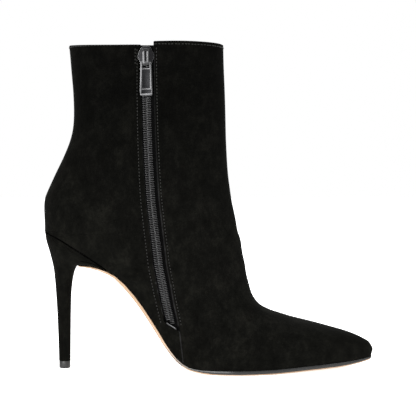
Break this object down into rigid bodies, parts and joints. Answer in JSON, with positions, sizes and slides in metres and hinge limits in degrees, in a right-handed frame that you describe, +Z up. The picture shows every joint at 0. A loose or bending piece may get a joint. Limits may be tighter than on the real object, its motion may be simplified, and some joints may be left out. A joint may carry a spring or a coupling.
{
  "type": "stiletto ankle bootie",
  "caption": "Pointed women's ankle bootie with a tall slim heel, a hollow suede upper open at the collar, a thin leather sole and a side zip with a swinging pull.",
  "frame": {"origin": "middle of the top lift's contact with the floor", "axes": "+X from the heel to the toe, +Y to the outer side of the left foot, +Z up"},
  "size_m": [0.2366, 0.0792, 0.2328],
  "materials": {
    "suede": "black suede with a short nap",
    "sole_leather": "smooth tan sole leather",
    "insole_board": "board with a thin leather sock",
    "tip_rubber": "hard black rubber",
    "zip_tape_cloth": "black woven tape",
    "zip_coil": "black nylon coil",
    "gunmetal": "dark plated metal"
  },
  "bodies": {
    "boot": {"upper": "suede", "heel": "suede", "outsole": "sole_leather", "insole": "insole_board", "top_lift": "tip_rubber", "zip_tape": "zip_tape_cloth", "zip_chain": "zip_coil", "zip_stop": "gunmetal", "zip_slider": "gunmetal"},
    "pull": {"zip_pull": "gunmetal"}
  },
  "joints": [
    {"name": "pull_swing", "type": "hinge", "parent": "boot", "child": "pull", "pos_m": [0.06061, -0.03037, 0.21793], "axis": [-1, -0.0034, -0.0079], "range_deg": [0, 140]}
  ]
}
